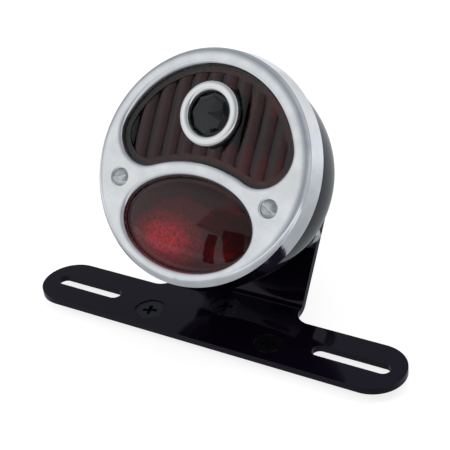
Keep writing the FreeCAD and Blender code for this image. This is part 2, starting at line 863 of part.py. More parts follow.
def stadium(length, width, z_low, z_high):
    """A bar with half-round ends along X, centred on the slot line."""
    radius = width / 2
    reach = length / 2 - radius
    height = z_high - z_low
    bar = Part.makeBox(2 * reach, width, height, Vector(-reach, -radius, z_low))
    left = Part.makeCylinder(radius, height, Vector(-reach, 0, z_low), axis_z)
    right = Part.makeCylinder(radius, height, Vector(reach, 0, z_low), axis_z)
    return bar.fuse(left).fuse(right).removeSplitter()


def make_bend(setback):
    """The sheet's bend between the flat plate and the trunk that carries the lamp."""
    start = Vector(-neck_width / 2, bend_line - setback, bend_radius)
    outer = Part.makeCylinder(bend_radius + plate_thickness, neck_width, start, axis_x)
    inner = Part.makeCylinder(bend_radius, neck_width, start, axis_x)
    wedge = bend_wedge(3 * (bend_radius + plate_thickness))
    wedge.translate(Vector(0, bend_line - setback, bend_radius))
    return outer.cut(inner).common(wedge)


def bend_wedge(size):
    """The slice of the bend between straight down and the trunk's back."""
    turn = math.radians(bend_angle)
    corners = [
        Vector(-neck_width / 2, 0, 0),
        Vector(-neck_width / 2, 0, -size),
        Vector(-neck_width / 2, size * math.tan(turn / 2), -size),
        Vector(-neck_width / 2, size * math.sin(turn), -size * math.cos(turn)),
    ]
    face = Part.Face(Part.makePolygon(corners + corners[:1]))
    return face.extrude(Vector(neck_width, 0, 0))


def make_bracket():
    half_neck = neck_width / 2
    setback = bend_radius * math.tan(math.radians(bend_angle / 2))
    arms = stadium(arm_span, arm_height, -plate_thickness, 0)
    corner = Vector(-half_neck, 0, -plate_thickness)
    neck = Part.makeBox(neck_width, bend_line - setback, plate_thickness, corner)
    plate = arms.fuse(neck).removeSplitter()
    corners = [e for e in plate.Edges if abs(e.BoundBox.ZLength - plate_thickness) < 1e-6
               and abs(abs(e.CenterOfMass.x) - half_neck) < 1e-6
               and abs(e.CenterOfMass.y - arm_height / 2) < 1e-6]
    plate = plate.makeFillet(neck_fillet, corners)
    top = trunk_top_drop
    low = setback - axis_above_bend
    trunk = Part.makeBox(neck_width, plate_thickness, -top - low, Vector(-half_neck, trunk_front, low))
    trunk = trunk.fuse(disc(half_neck, trunk_front, trunk_back, 0, -top))
    bracket = plate.fuse(make_bend(setback)).fuse(place(trunk)).removeSplitter()
    for x, z in stud_places():
        bracket = bracket.cut(place(disc(stud_radius + hole_gap / 2, trunk_front - 1, trunk_back + 1, x, z)))
        bracket = bracket.cut(place(stud_cone(x, z, hole_gap / 2)))
    bracket = bracket.cut(place(disc(wire_hole_radius, trunk_front - 1, trunk_back + 1)))
    for side in (-1, 1):
        slot = stadium(slot_length, slot_width, -plate_thickness - 1, 1)
        slot.translate(Vector(side * slot_spacing / 2, 0, 0))
        bracket = bracket.cut(slot)
    for x, y in fender_screw_places():
        through = Part.makeCylinder(fender_screw_radius + hole_gap / 2, plate_thickness + 2,
                                    Vector(x, y, -plate_thickness - 1), axis_z)
        recess = Part.makeCylinder(head_recess_radius, head_recess_depth + 1,
                                   Vector(x, y, -head_recess_depth), axis_z)
        bracket = bracket.cut(through).cut(recess).cut(head_cone(x, y, hole_gap / 2))
    return bracket


def fender_screw_places():
    half = fender_screw_spacing / 2
    return [(-half, fender_screw_row), (half, fender_screw_row), (0.0, fender_screw_top_row)]


def head_cone(x, y, gap):
    """The countersink, or with no gap the screw head that sits in it."""
    wide = fender_head_radius
    narrow = fender_screw_radius
    depth = (wide - narrow) / math.tan(math.radians(head_cone_angle))
    return Part.makeCone(narrow + gap, wide + gap, depth, Vector(x, y, -head_recess_depth - depth), axis_z)


def make_fender_screw(x, y):
    top = -head_recess_depth
    end = -plate_thickness - fender_screw_tip
    shank = Part.makeCylinder(fender_screw_radius, top - end, Vector(x, y, end), axis_z)
    screw = shank.fuse(head_cone(x, y, 0.0))
    half = cross_width / 2
    reach = cross_span / 2
    for turn in (0, 90):
        blade = Part.makeBox(2 * reach, cross_width, cross_depth + 1, Vector(-reach, -half, -cross_depth))
        blade.rotate(origin, axis_z, turn + 20)
        blade.translate(Vector(x, y, top))
        screw = screw.cut(blade)
    return screw.removeSplitter()


def main():
    os.makedirs("parts", exist_ok=True)
    lamp("door", make_door())
    lamp("upper_lens", make_upper_lens())
    lamp("lower_lens", make_lower_lens())
    lamp("jewel_bezel", make_jewel_bezel())
    lamp("jewel", make_jewel())
    lamp("jewel_pad", make_jewel_pad())
    lamp("jewel_ring_nut", make_jewel_ring_nut())
    lamp("jewel_snap_ring", make_jewel_snap_ring())
    lamp("upper_lens_gasket", lens_gasket(kidney))
    lamp("lower_lens_gasket", lens_gasket(oval))
    lamp("lens_retainer", make_retainer())
    lamp("door_gasket", make_door_gasket())
    turns = (left_slot_turn, right_slot_turn)
    lamp("door_screws", *[make_door_screw(x, z, t) for (x, z), t in zip(screw_places(), turns)])
    lamp("screw_push_nuts", *[make_push_nut(x, z) for x, z in screw_places()])
    lamp("housing", make_housing())
    lamp("window_glass", make_window_glass())
    lamp("window_gasket", make_window_gasket())
    lamp("window_frame", make_window_frame())
    lamp("door_lugs", *[make_lug(x, z) for x, z in screw_places()])
    lamp("lug_nuts", *[make_lug_nut(x, z) for x, z in screw_places()])
    lamp("lead_grommet", make_grommet())
    lamp("reflector", make_reflector())
    lamp("light_shield", make_light_shield())
    for name, z in lamp_heights().items():
        lamp(name + "_socket", make_socket(z))
        lamp(name + "_socket_disc", make_socket_disc(z))
        lamp(name + "_bulb_base", make_bulb_base(z))
        lamp(name + "_bulb_glass", make_bulb_glass(z))
        lamp(name + "_contact_plunger", make_plunger(z))
        lamp(name + "_contact_spring", make_spring(z))
    lamp("mounting_studs", *[make_stud(x, z) for x, z in stud_places()])
    spacers = [make_nut(x, z, spacer_flats, boss_face, trunk_front) for x, z in stud_places()]
    inner_nuts = [make_nut(x, z, nut_flats, mounting_nut_front, mounting_nut_back) for x, z in stud_places()]
    lamp("spacer_nuts", *spacers)
    lamp("lock_washers", *[make_lock_washer(x, z) for x, z in stud_places()])
    lamp("mounting_nuts", *inner_nuts)
    save("bracket", [make_bracket()])
    save("fender_screws", [make_fender_screw(x, y) for x, y in fender_screw_places()])


main()
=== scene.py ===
import json
import math

import bmesh
import bpy
from mathutils import Euler, Matrix, Vector


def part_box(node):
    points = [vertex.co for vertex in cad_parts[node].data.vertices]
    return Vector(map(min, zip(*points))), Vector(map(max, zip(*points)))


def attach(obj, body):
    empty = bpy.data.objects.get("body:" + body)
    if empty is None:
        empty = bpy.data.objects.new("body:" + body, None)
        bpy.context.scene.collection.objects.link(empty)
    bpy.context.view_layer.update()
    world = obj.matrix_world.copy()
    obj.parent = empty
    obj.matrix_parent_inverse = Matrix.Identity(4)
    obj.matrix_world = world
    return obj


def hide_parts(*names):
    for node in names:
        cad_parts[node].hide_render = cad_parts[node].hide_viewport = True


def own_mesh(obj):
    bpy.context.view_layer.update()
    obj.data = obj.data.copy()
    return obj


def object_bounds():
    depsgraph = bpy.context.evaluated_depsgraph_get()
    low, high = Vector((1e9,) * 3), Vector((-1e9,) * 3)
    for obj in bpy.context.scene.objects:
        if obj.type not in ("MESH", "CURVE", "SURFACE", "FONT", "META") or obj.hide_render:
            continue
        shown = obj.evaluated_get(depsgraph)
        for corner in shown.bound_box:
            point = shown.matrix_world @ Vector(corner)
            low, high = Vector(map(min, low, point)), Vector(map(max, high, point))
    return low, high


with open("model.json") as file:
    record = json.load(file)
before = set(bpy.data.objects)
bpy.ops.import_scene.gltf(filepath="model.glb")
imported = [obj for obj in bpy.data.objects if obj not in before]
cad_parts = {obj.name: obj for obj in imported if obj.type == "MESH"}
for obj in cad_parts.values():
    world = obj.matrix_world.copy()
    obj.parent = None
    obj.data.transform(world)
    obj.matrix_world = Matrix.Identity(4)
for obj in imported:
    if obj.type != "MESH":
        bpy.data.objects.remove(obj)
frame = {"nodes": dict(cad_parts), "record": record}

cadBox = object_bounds()
nodes = frame["nodes"]
scene = bpy.context.scene
print("frame loaded:", len(nodes), "nodes")

# how far the lamp leans back on its bracket
lean = math.radians(36.3)
lampTurn = Matrix.Rotation(-lean, 4, "X")
lampAxis = lampTurn.to_3x3() @ Vector((0, 1, 0))


def middleOf(node):
    low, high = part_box(node)
    return (low + high) / 2


def halfWidth(node):
    low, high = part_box(node)
    return (high.x - low.x) / 2


def alongAxis(node):
    # how far the node reaches along the lamp's axis
    depths = [vertex.co.dot(lampAxis) for vertex in nodes[node].data.vertices]
    return min(depths), max(depths)


# what every finish is put together from
noiseKinds = {  # the detail and roughness of each
    "waves": (1, 0.5), "grain": (2, 0.5), "sparkle": (2, 0.6), "drift": (3, 0.5),
    "clouds": (4, 0.5), "spangle": (4, 0.6), "mottle": (5, 0.65),
}
noiseSpan = (0.3, 0.7)  # where most of a noise's values lie
hairSpan = (0.35, 0.65)
spotSpan = (0.02, 0.05)  # a speck's core and rim, as shares of its cell


def startMaterial(name):
    material = bpy.data.materials.new(name)
    material.use_nodes = True
    tree = material.node_tree
    shader = tree.nodes["Principled BSDF"]
    position = tree.nodes.new("ShaderNodeTexCoord").outputs["Object"]
    return material, tree, shader, position


def addMapping(tree, position, scale=(1, 1, 1), turn=(0, 0, 0)):
    mapping = tree.nodes.new("ShaderNodeMapping")
    mapping.inputs["Scale"].default_value = scale
    mapping.inputs["Rotation"].default_value = turn
    tree.links.new(position, mapping.inputs["Vector"])
    return mapping.outputs["Vector"]


def addNoise(tree, position, perMetre, kind):
    detail, roughness = noiseKinds[kind]
    noise = tree.nodes.new("ShaderNodeTexNoise")
    noise.inputs["Scale"].default_value = perMetre
    noise.inputs["Detail"].default_value = detail
    noise.inputs["Roughness"].default_value = roughness
    tree.links.new(position, noise.inputs["Vector"])
    return noise.outputs["Fac"]


def addSpots(tree, position, perMetre):
    # sparse specks: 1 inside a speck and 0 outside
    cells = tree.nodes.new("ShaderNodeTexVoronoi")
    cells.inputs["Scale"].default_value = perMetre
    tree.links.new(position, cells.inputs["Vector"])
    return stretch(tree, cells.outputs["Distance"], spotSpan, (1.0, 0.0))


def stretch(tree, value, source, target):
    # maps the source span onto the target span and holds its ends
    span = tree.nodes.new("ShaderNodeMapRange")
    for name, number in zip(("From Min", "From Max", "To Min", "To Max"), (*source, *target)):
        span.inputs[name].default_value = number
    tree.links.new(value, span.inputs["Value"])
    return span.outputs["Result"]


def blendColours(tree, factor, first, second):
    blend = tree.nodes.new("ShaderNodeMix")
    blend.data_type = "RGBA"
    tree.links.new(factor, blend.inputs["Factor"])
    blend.inputs["A"].default_value = (*first, 1)
    blend.inputs["B"].default_value = (*second, 1)
    return blend.outputs["Result"]


def addRamp(tree, factor, stops, blueShift=0.0):
    # eased grey levels at the given factors, the darker ones turned bluer
    ramp = tree.nodes.new("ShaderNodeValToRGB")
    ramp.color_ramp.interpolation = "EASE"
    points = ramp.color_ramp.elements
    while len(points) < len(stops):
        points.new(0.5)
    for point, (place, level) in zip(points, stops):
        point.position = place
    for point, (place, level) in zip(points, stops):
        shift = blueShift * (1 - level)
        point.color = (level * (1 - shift), level, level * (1 + shift), 1)
    tree.links.new(factor, ramp.inputs["Fac"])
    return ramp.outputs["Color"]


def addBump(tree, height, depth, target):
    # the target is the shader, or another bump that this one lies under
    bump = tree.nodes.new("ShaderNodeBump")
    bump.inputs["Distance"].default_value = depth
    tree.links.new(height, bump.inputs["Height"])
    tree.links.new(bump.outputs["Normal"], target.inputs["Normal"])
    return bump


def setSockets(shader, **values):
    for name, number in values.items():
        shader.inputs[name.replace("_", " ")].default_value = number


def chooseShader(tree, factor, otherwise, shown):
    choose = tree.nodes.new("ShaderNodeMixShader")
    tree.links.new(factor, choose.inputs["Fac"])
    tree.links.new(otherwise, choose.inputs[1])
    tree.links.new(shown, choose.inputs[2])
    return choose.outputs[0]


def brightPlating(name, look):
    # polished nickel-chrome: a faint cloudiness and hairline polishing marks
    material, tree, shader, position = startMaterial(name)
    cloud = addNoise(tree, position, look["cloudsPerMetre"], "clouds")
    hairPosition = addMapping(tree, position, look["hairStretch"], look["hairTurn"])
    hairs = addNoise(tree, hairPosition, look["hairsPerMetre"], "grain")
    colour = blendColours(tree, cloud, look["darkColour"], look["lightColour"])
    tree.links.new(colour, shader.inputs["Base Color"])
    tree.links.new(stretch(tree, hairs, hairSpan, look["roughness"]), shader.inputs["Roughness"])
    marks = addBump(tree, hairs, look["hairDepth"], shader)
    # the sheet under the plating is never quite flat
    addBump(tree, addNoise(tree, position, look["wavesPerMetre"], "waves"), look["waveDepth"], marks)
    setSockets(shader, Metallic=1.0)
    return material


def enamel(name, look):
    # sprayed black: orange peel, dust nibs and softly varying gloss
    material, tree, shader, position = startMaterial(name)
    peel = addNoise(tree, position, look["peelPerMetre"], "grain")
    dust = addSpots(tree, position, look["dustPerMetre"])
    colour = blendColours(tree, dust, look["colour"], look["dustColour"])
    tree.links.new(colour, shader.inputs["Base Color"])
    gloss = addNoise(tree, position, look["glossPerMetre"], "drift")
    tree.links.new(stretch(tree, gloss, noiseSpan, look["roughness"]), shader.inputs["Roughness"])
    addBump(tree, peel, look["peelDepth"], shader)
    setSockets(shader, Specular_IOR_Level=look["shine"], Specular_Tint=(*look["tint"], 1))
    return material


def addPaintedGlow(tree, shader, position, paintedGlow):
    # painted glow: an emission patch on the glass standing in for light caught behind the lens, a grainy
    # oval that fades outwards, turned with the lamp
    oval = tree.nodes.new("ShaderNodeMapping")
    oval.vector_type = "TEXTURE"
    aside = lampTurn.to_3x3() @ Vector(paintedGlow["aside"])
    oval.inputs["Location"].default_value = middleOf(paintedGlow["behind"]) + aside
    oval.inputs["Rotation"].default_value = (-lean, 0, 0)
    oval.inputs["Scale"].default_value = paintedGlow["reach"]
    tree.links.new(position, oval.inputs["Vector"])
    length = tree.nodes.new("ShaderNodeVectorMath")
    length.operation = "LENGTH"
    tree.links.new(oval.outputs["Vector"], length.inputs[0])
    fade = addRamp(tree, length.outputs["Value"], paintedGlow["levels"])
    grain = addNoise(tree, position, paintedGlow["grainPerMetre"], "sparkle")
    patch = tree.nodes.new("ShaderNodeMath")
    patch.operation = "MULTIPLY"
    tree.links.new(fade, patch.inputs[0])
    tree.links.new(stretch(tree, grain, noiseSpan, paintedGlow["grain"]), patch.inputs[1])
    tree.links.new(patch.outputs["Value"], shader.inputs["Emission Strength"])
    shader.inputs["Emission Color"].default_value = (*paintedGlow["colour"], 1)


def pressedGlass(name, look):
    # glass, coloured or clear, with faint streaks from the mould and a fine grain
    material, tree, shader, position = startMaterial(name)
    streakPosition = addMapping(tree, position, look["streakStretch"])
    streaks = addNoise(tree, streakPosition, look["streaksPerMetre"], "drift")
    colour = blendColours(tree, streaks, look["deepColour"], look["clearColour"])
    tree.links.new(colour, shader.inputs["Base Color"])
    grain = addNoise(tree, position, look["grainPerMetre"], "grain")
    tree.links.new(stretch(tree, grain, noiseSpan, look["roughness"]), shader.inputs["Roughness"])
    addBump(tree, grain, look["grainDepth"], shader)
    setSockets(shader, IOR=look["ior"], Transmission_Weight=1.0)
    # a painted glow where asked: emission on the glass standing in for light from inside the lamp
    if "paintedGlow" in look:
        addPaintedGlow(tree, shader, position, look["paintedGlow"])
    return material


def plainMetal(name, look):
    # mill or zinc finish, or brass: spangle and grain
    material, tree, shader, position = startMaterial(name)
    spangle = addNoise(tree, position, look["spanglePerMetre"], "spangle")
    colour = blendColours(tree, spangle, look["darkColour"], look["lightColour"])
    tree.links.new(colour, shader.inputs["Base Color"])
    grainPosition = addMapping(tree, position, look["grainStretch"], look["grainTurn"])
    grain = addNoise(tree, grainPosition, look["grainPerMetre"], "grain")
    tree.links.new(stretch(tree, grain, noiseSpan, look["roughness"]), shader.inputs["Roughness"])
    addBump(tree, grain, look["grainDepth"], shader)
    setSockets(shader, Metallic=1.0)
    return material


def rubberOrBoard(name, look):
    # matt black rubber or brown pressed board
    material, tree, shader, position = startMaterial(name)
    mottle = addNoise(tree, position, look["mottlePerMetre"], "mottle")
    colour = blendColours(tree, mottle, look["darkColour"], look["lightColour"])
    tree.links.new(colour, shader.inputs["Base Color"])
    tree.links.new(stretch(tree, mottle, noiseSpan, look["roughness"]), shader.inputs["Roughness"])
    addBump(tree, mottle, look["depth"], shader)
    return material


# the finishes, with spans given as their least and most
turnWithLamp = (lean, 0, 0)
doorChrome = brightPlating("doorChrome", {
    "darkColour": (0.66, 0.67, 0.68), "lightColour": (0.97, 0.97, 0.98), "cloudsPerMetre": 120,
    "hairsPerMetre": 320, "hairStretch": (1, 6, 1), "hairTurn": turnWithLamp,
    "roughness": (0.045, 0.10), "hairDepth": 0.00001, "wavesPerMetre": 45, "waveDepth": 0.0005,
})
bezelChrome = brightPlating("bezelChrome", {
    "darkColour": (0.87, 0.86, 0.845), "lightColour": (0.94, 0.93, 0.91), "cloudsPerMetre": 90,
    "hairsPerMetre": 300, "hairStretch": (1, 1, 5), "hairTurn": turnWithLamp,
    "roughness": (0.06, 0.11), "hairDepth": 0.000003, "wavesPerMetre": 60, "waveDepth": 0.00002,
})
screwChrome = brightPlating("screwChrome", {
    "darkColour": (0.28, 0.29, 0.31), "lightColour": (0.84, 0.85, 0.86), "cloudsPerMetre": 380,
    "hairsPerMetre": 500, "hairStretch": (4, 1, 1), "hairTurn": turnWithLamp,
    "roughness": (0.08, 0.18), "hairDepth": 0.000006, "wavesPerMetre": 200, "waveDepth": 0.00005,
})
bracketBlack = enamel("bracketBlack", {
    "colour": (0.0026, 0.0014, 0.0046), "dustColour": (0.012, 0.011, 0.014), "dustPerMetre": 260,
    "peelPerMetre": 900, "peelDepth": 0.000006, "glossPerMetre": 45, "roughness": (0.04, 0.09),
    "shine": 0.27, "tint": (0.88, 0.74, 1.0),
})
screwBlack = enamel("screwBlack", {
    "colour": (0.003, 0.0028, 0.0036), "dustColour": (0.03, 0.03, 0.03), "dustPerMetre": 700,
    "peelPerMetre": 2500, "peelDepth": 0.000006, "glossPerMetre": 300, "roughness": (0.14, 0.22),
    "shine": 0.36, "tint": (0.95, 0.88, 1.0),
})
housingBlack = enamel("housingBlack", {
    "colour": (0.0014, 0.0015, 0.0022), "dustColour": (0.010, 0.010, 0.011), "dustPerMetre": 180,
    "peelPerMetre": 420, "peelDepth": 0.000006, "glossPerMetre": 30, "roughness": (0.06, 0.10),
    "shine": 0.16, "tint": (0.62, 0.78, 1.0),
})
rubyRibbed = pressedGlass("rubyRibbed", {
    "deepColour": (0.060, 0.003, 0.004), "clearColour": (0.12, 0.006, 0.007), "streaksPerMetre": 150,
    "streakStretch": (1, 0.3, 0.3), "grainPerMetre": 1200, "grainDepth": 0.000002,
    "roughness": (0.08, 0.12), "ior": 1.45,
})
rubySmooth = pressedGlass("rubySmooth", {
    "deepColour": (0.075, 0.003, 0.004), "clearColour": (0.125, 0.006, 0.008), "streaksPerMetre": 90,
    "streakStretch": (1, 1, 1), "grainPerMetre": 1400, "grainDepth": 0.000004,
    "roughness": (0.0, 0.0), "ior": 1.5,
    # painted glow: a red emission patch on the lower lens standing in for light caught behind it, though no
    # bulb is lit
    "paintedGlow": {
        "behind": "lower_lens", "aside": (-0.0065, 0, -0.0075),
        "reach": (0.050, 0.060, 0.030), "colour": (0.23, 0.006, 0.012),
        "levels": ((0.0, 0.86), (0.16, 0.68), (0.32, 0.22), (0.44, 0.06), (0.70, 0.03), (1.0, 0.0)),
        "grainPerMetre": 900, "grain": (0.15, 1.85),
    },
})
jewelBlue = pressedGlass("jewelBlue", {
    "deepColour": (0.008, 0.016, 0.018), "clearColour": (0.016, 0.030, 0.034), "streaksPerMetre": 200,
    "streakStretch": (1, 1, 1), "grainPerMetre": 900, "grainDepth": 0.000002,
    "roughness": (0.0, 0.0), "ior": 1.52,
})
windowGlass = pressedGlass("windowGlass", {
    "deepColour": (0.86, 0.91, 0.90), "clearColour": (0.95, 0.97, 0.97), "streaksPerMetre": 90,
    "streakStretch": (1, 1, 1), "grainPerMetre": 700, "grainDepth": 0.000003,
    "roughness": (0.0, 0.03), "ior": 1.5,
})
bulbGlass = pressedGlass("bulbGlass", {
    "deepColour": (0.95, 0.96, 0.96), "clearColour": (1.0, 1.0, 1.0), "streaksPerMetre": 120,
    "streakStretch": (1, 1, 1), "grainPerMetre": 300, "grainDepth": 0.000002,
    "roughness": (0.0, 0.01), "ior": 1.45,
})
zincPlate = plainMetal("zincPlate", {
    "darkColour": (0.48, 0.48, 0.47), "lightColour": (0.70, 0.70, 0.68), "spanglePerMetre": 600,
    "grainPerMetre": 1200, "grainStretch": (1, 1, 1), "grainTurn": (0, 0, 0), "grainDepth": 0.00001,
    "roughness": (0.20, 0.36),
})
plainSteel = plainMetal("plainSteel", {
    "darkColour": (0.42, 0.43, 0.45), "lightColour": (0.60, 0.61, 0.62), "spanglePerMetre": 150,
    "grainPerMetre": 400, "grainStretch": (1, 8, 1), "grainTurn": turnWithLamp, "grainDepth": 0.000008,
    "roughness": (0.24, 0.36),
})
reflectorBright = plainMetal("reflectorBright", {
    "darkColour": (0.78, 0.78, 0.79), "lightColour": (0.90, 0.90, 0.90), "spanglePerMetre": 80,
    "grainPerMetre": 500, "grainStretch": (1, 1, 1), "grainTurn": (0, 0, 0), "grainDepth": 0.00003,
    "roughness": (0.16, 0.28),
})
bulbBrass = plainMetal("bulbBrass", {
    "darkColour": (0.52, 0.36, 0.15), "lightColour": (0.74, 0.56, 0.26), "spanglePerMetre": 400,
    "grainPerMetre": 900, "grainStretch": (1, 1, 1), "grainTurn": (0, 0, 0), "grainDepth": 0.000008,
    "roughness": (0.18, 0.32),
})
blackRubber = rubberOrBoard("blackRubber", {
    "darkColour": (0.012, 0.012, 0.012), "lightColour": (0.030, 0.030, 0.030), "mottlePerMetre": 1400,
    "roughness": (0.55, 0.75), "depth": 0.00002,
})
brownBoard = rubberOrBoard("brownBoard", {
    "darkColour": (0.12, 0.045, 0.018), "lightColour": (0.24, 0.10, 0.045), "mottlePerMetre": 1100,
    "roughness": (0.40, 0.60), "depth": 0.00002,
})
print("finishes ready:", len(bpy.data.materials))

# each CAD node's finish
finishOf = {
    "bracket": bracketBlack, "fender_screws": screwBlack, "door": doorChrome, "door_screws": screwChrome,
    "upper_lens": rubyRibbed, "lower_lens": rubySmooth, "jewel_bezel": bezelChrome, "jewel": jewelBlue,
    "jewel_pad": blackRubber, "jewel_ring_nut": plainSteel, "jewel_snap_ring": plainSteel,
    "upper_lens_gasket": blackRubber, "lower_lens_gasket": blackRubber, "lens_retainer": plainSteel,
    "door_gasket": blackRubber, "screw_push_nuts": plainSteel, "housing": housingBlack,
    "window_glass": windowGlass, "window_gasket": blackRubber, "window_frame": plainSteel,
    "door_lugs": plainSteel, "lug_nuts": zincPlate, "lead_grommet": blackRubber,
    "reflector": reflectorBright, "light_shield": plainSteel, "stop_socket": plainSteel,
    "tail_socket": plainSteel, "stop_socket_disc": brownBoard, "tail_socket_disc": brownBoard,
    "stop_bulb_glass": bulbGlass, "tail_bulb_glass": bulbGlass, "stop_bulb_base": bulbBrass,
    "tail_bulb_base": bulbBrass, "stop_contact_plunger": brownBoard, "tail_contact_plunger": brownBoard,
    "stop_contact_spring": plainSteel, "tail_contact_spring": plainSteel, "mounting_studs": zincPlate,
    "spacer_nuts": zincPlate, "lock_washers": zincPlate, "mounting_nuts": zincPlate,
}
for name, material in finishOf.items():
    mesh = nodes[name].data
    mesh.materials.clear()
    mesh.materials.append(material)
print("CAD nodes dressed:", len(finishOf))

# small pieces that only the scene has
quarterTurn = math.radians(90)
wholeTurn = math.radians(360)


def finishPiece(name, form, matrix, material, body):
    # puts the form in place, gives it its finish and lets it ride its body
    bmesh.ops.transform(form, matrix=matrix, verts=form.verts)
    bmesh.ops.recalc_face_normals(form, faces=form.faces)
    mesh = bpy.data.meshes.new(name)
    form.to_mesh(mesh)
    form.free()
    mesh.shade_smooth()
    mesh.materials.append(material)
    piece = bpy.data.objects.new(name, mesh)
    scene.collection.objects.link(piece)
    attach(piece, body)
    return piece


def windWire(form, radius, wire, sides, stepsPerTurn, runs):
    # a wire wound about +Y, where runs lists each stretch's turns and rise per turn
    bmesh.ops.create_circle(form, segments=sides, radius=wire, cap_ends=True,
                            matrix=Matrix.Translation((radius, 0, 0)))
    tip = form.verts[:] + form.edges[:] + form.faces[:]
    for turns, rise in runs:
        wound = bmesh.ops.spin(form, geom=tip, cent=(0, 0, 0), axis=(0, 1, 0),
                               dvec=(0, rise / stepsPerTurn, 0),
                               angle=turns * wholeTurn, steps=turns * stepsPerTurn)
        tip = wound["geom_last"]


def onBulbAxis(kind, depth):
    # the point of the bulb's axis at a depth along the lamp
    disc = middleOf(kind + "_socket_disc")
    return disc + lampAxis * (depth - disc.dot(lampAxis))


springs = {
    "wire": 0.00035, "sides": 10, "stepsPerTurn": 28, "closedRise": 0.00072, "openTurns": 2,
    "keep": 0.609,  # what is left of the coil's length when the bulb is pushed in
}


def makeSpring(kind):
    plain = kind + "_contact_spring"
    front, back = alongAxis(plain)
    wire = springs["wire"]
    height = back - front - 2 * wire
    openRise = (height - 2 * springs["closedRise"]) / springs["openTurns"]
    runs = ((1, springs["closedRise"]), (springs["openTurns"], openRise), (1, springs["closedRise"]))
    form = bmesh.new()
    windWire(form, halfWidth(plain) - wire, wire, springs["sides"], springs["stepsPerTurn"], runs)
    place = Matrix.Translation(onBulbAxis(kind, front + wire)) @ lampTurn
    spring = finishPiece(kind + "CoilSpring", form, place, plainSteel, "lamp")
    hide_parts(plain)
    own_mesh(spring)


filaments = {
    "coilRadius": 0.00045, "coilWire": 0.00010, "coilTurns": 9, "coilRise": 0.00055,
    "coilSides": 8, "coilSteps": 16, "supportWire": 0.00022, "supportSides": 10, "supportLength": 0.011,
    "stemSteps": 24,  # the stem's profile is listed as radius and depth behind the ball's middle
    "stemProfile": ((0.0032, 0.0140), (0.0029, 0.0115), (0.0014, 0.0085), (0.0011, 0.0068)),
}


def makeFilament(kind):
    ballMiddle = alongAxis(kind + "_bulb_glass")[0] + halfWidth(kind + "_bulb_glass")
    place = Matrix.Translation(onBulbAxis(kind, ballMiddle)) @ lampTurn
    # the coil lies across the bulb, on two supports
    span = filaments["coilTurns"] * filaments["coilRise"]
    wire = bmesh.new()
    windWire(wire, filaments["coilRadius"], filaments["coilWire"], filaments["coilSides"],
             filaments["coilSteps"], ((filaments["coilTurns"], filaments["coilRise"]),))
    bmesh.ops.translate(wire, verts=wire.verts, vec=(0, -span / 2, 0))
    bmesh.ops.rotate(wire, verts=wire.verts, cent=(0, 0, 0), matrix=Matrix.Rotation(quarterTurn, 3, "Z"))
    for side in (-1, 1):
        middle = (side * span / 2, filaments["supportLength"] / 2, 0)
        turned = Matrix.Translation(middle) @ Matrix.Rotation(quarterTurn, 4, "X")
        bmesh.ops.create_cone(wire, segments=filaments["supportSides"], radius1=filaments["supportWire"],
                              radius2=filaments["supportWire"], depth=filaments["supportLength"],
                              cap_ends=True, matrix=turned)
    finishPiece(kind + "Filament", wire, place, plainSteel, kind + "_bulb")
    stem = bmesh.new()
    corners = [stem.verts.new((radius, depth, 0)) for radius, depth in filaments["stemProfile"]]
    edges = [stem.edges.new(pair) for pair in zip(corners, corners[1:])]
    bmesh.ops.spin(stem, geom=corners + edges, cent=(0, 0, 0), axis=(0, 1, 0), angle=wholeTurn,
                   steps=filaments["stemSteps"], use_merge=True)
    bmesh.ops.holes_fill(stem, edges=[edge for edge in stem.edges if edge.is_boundary])
    finishPiece(kind + "BulbStem", stem, place, bulbGlass, kind + "_bulb")


threads = {
    "radius": 0.00315, "ridge": 0.00024, "sides": 4, "stepsPerTurn": 36, "rise": 0.00127, "margin": 0.0005,
}


def makeThread(name, mount):
    # the ridge that shows on the screw's shank below the plate
    x, y = mount["pos_m"][:2]
    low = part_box("fender_screws")[0].z + threads["margin"]
    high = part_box("bracket")[0].z - threads["margin"]
    turns = int((high - low) / threads["rise"])
    form = bmesh.new()
    windWire(form, threads["radius"], threads["ridge"], threads["sides"], threads["stepsPerTurn"],
             ((turns, threads["rise"]),))
    down = Matrix.Translation((x, y, high)) @ Matrix.Rotation(-quarterTurn, 4, "X")
    finishPiece(name, form, down, screwBlack, "lamp")


for kind in ("stop", "tail"):
    makeSpring(kind)
    makeFilament(kind)
for mount in frame["record"]["mounts"]:
    if mount["name"].startswith("fender_screw"):
        makeThread(mount["name"].replace("fender_screw_", "thread_"), mount)
print("small pieces made")

# stage, lamps and camera
studio = {
    "floorSize": 3.0, "floorGap": 0.0002, "paperPerMetre": 300, "paperRoughness": 0.9,
    "paperColours": ((0.78, 0.78, 0.78), (0.82, 0.82, 0.82)), "floorWhite": 0.80, "floorLit": 0.30,
    # what gloss sees of the floor, by the distance in metres from the middle
    "floorGloss": (0.46, 0.92), "floorGlossReach": (0.10, 0.50), "floorGlossColour": (0.89, 0.94, 1.0),
    "worldDay": 0.75, "brightTowards": (-0.48, -0.71, 0.52), "blueShift": 0.13,
    # what gloss sees of the world, from straight away from the bright side (-1) to straight at it (1)
    "glossStops": ((-0.95, 0.86), (-0.50, 0.70), (-0.25, 0.46), (0.0, 0.38), (0.15, 0.33), (0.35, 0.36),
                   (0.55, 0.48), (0.80, 0.68), (1.0, 0.81)),
    "dimTowards": (0.32, -0.60, 0.73), "dimReach": (0.80, 0.95), "dimLevels": (1.0, 0.40),
}


